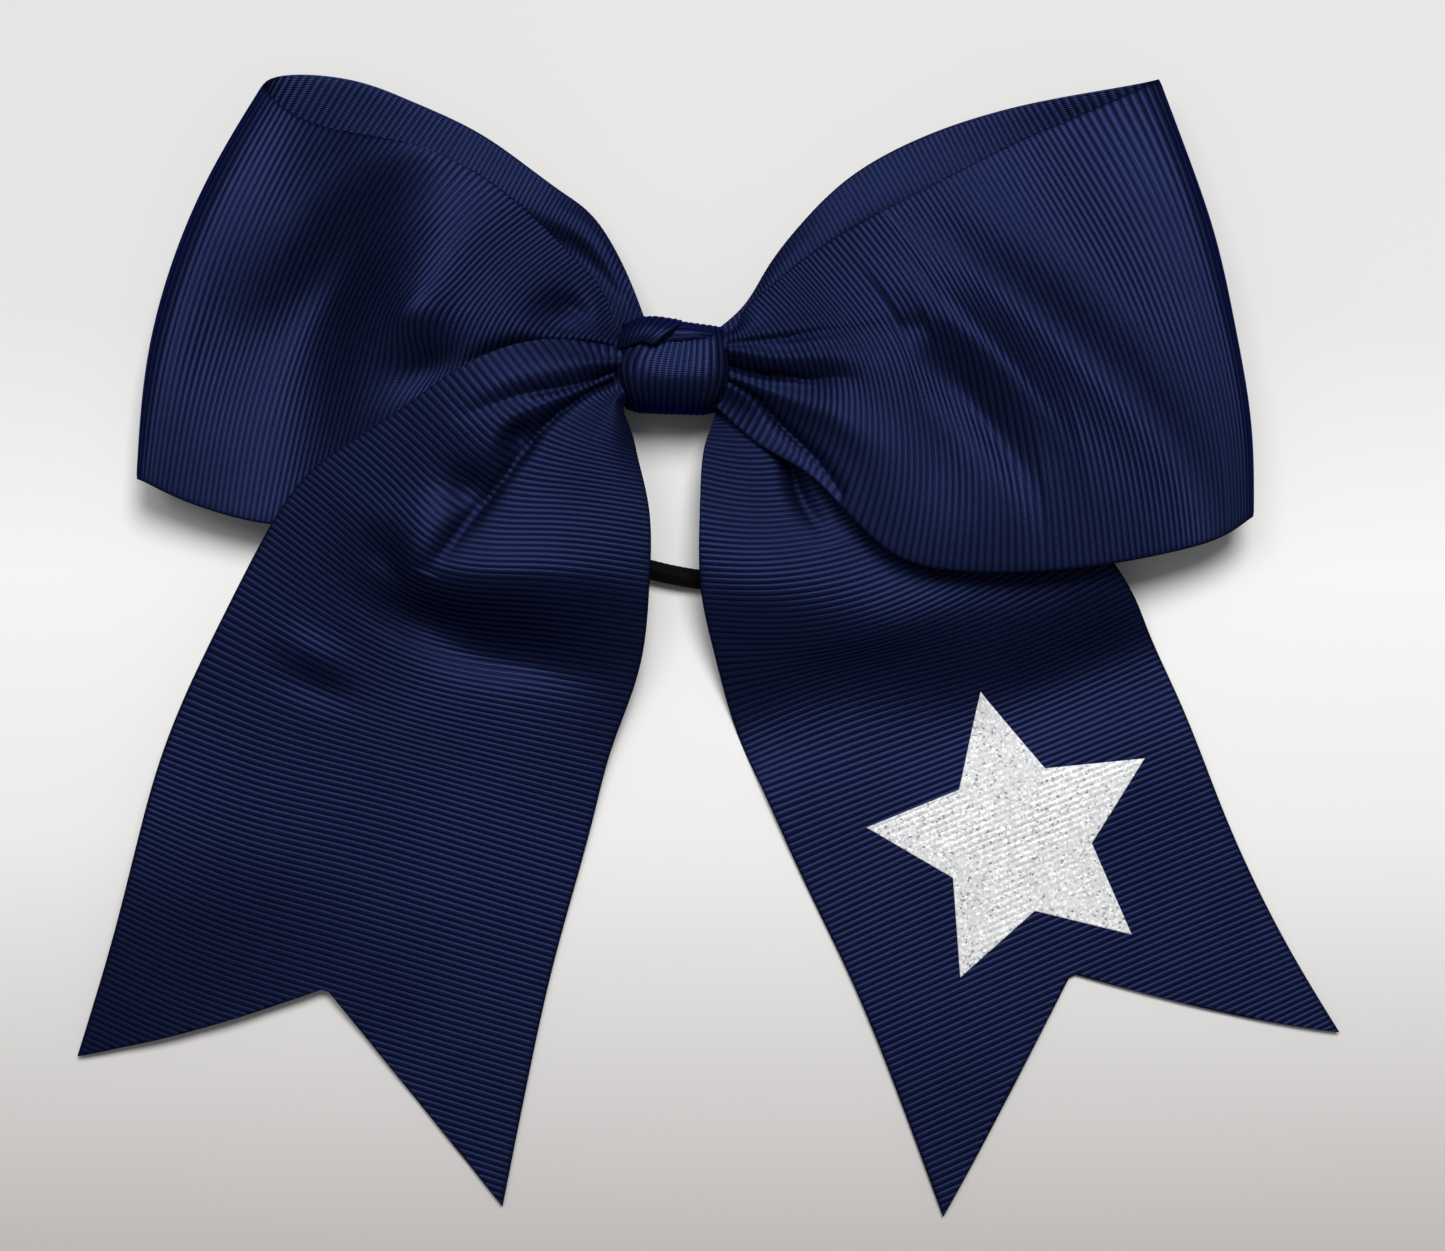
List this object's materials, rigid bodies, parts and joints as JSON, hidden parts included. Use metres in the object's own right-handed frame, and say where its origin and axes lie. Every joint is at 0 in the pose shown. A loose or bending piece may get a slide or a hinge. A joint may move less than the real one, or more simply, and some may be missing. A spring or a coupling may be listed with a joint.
{
  "type": "cheer hair bow",
  "caption": "Tailed hair bow of wide ribbed ribbon with two loops, swallowtail tails, a wrapped knot, a hair elastic and a glitter star.",
  "frame": {"origin": "centre of the flat back face of the knot, which lies on the table", "axes": "+X along the span from the left loop to the right loop, seen from the front; +Y away from the tails; +Z out of the bow's front"},
  "size_m": [0.218, 0.1964, 0.0225],
  "materials": {
    "ribbon": "navy grosgrain, fine cross ribs, soft sheen",
    "knot_ribbon": "navy grosgrain, fine cross ribs, soft sheen",
    "glitter_vinyl": "white glitter heat-transfer vinyl",
    "thread": "navy polyester thread",
    "hot_glue": "cloudy hot-melt glue",
    "elastic": "black braided covered elastic"
  },
  "bodies": {
    "bow": {"left_loop_front": "ribbon", "left_loop_back": "ribbon", "right_loop_front": "ribbon", "right_loop_back": "ribbon", "right_tail_root": "ribbon", "gathered_centre": "ribbon", "cinch_thread": "thread", "knot_front_band": "knot_ribbon", "knot_twist": "knot_ribbon", "knot_back_wrap": "knot_ribbon", "knot_glue_seam": "hot_glue"},
    "left_tail": {"left_tail": "ribbon"},
    "right_tail": {"right_tail": "ribbon", "vinyl_star": "glitter_vinyl"},
    "elastic": {"hair_elastic": "elastic"}
  },
  "joints": [
    {"name": "left_tail_lift", "type": "hinge", "parent": "bow", "child": "left_tail", "pos_m": [-0.01, 0.004, 0.018], "axis": [-1, 0, 0], "range_deg": [0, 75]},
    {"name": "right_tail_bend", "type": "hinge", "parent": "bow", "child": "right_tail", "pos_m": [0.0055, -0.0419, 0.0078], "axis": [-0.9967, -0.0727, 0.035], "range_deg": [-45, 75]},
    {"name": "elastic_swing", "type": "hinge", "parent": "bow", "child": "elastic", "pos_m": [0, 0, 0.00295], "axis": [1, 0, 0], "range_deg": [0, 150]}
  ]
}
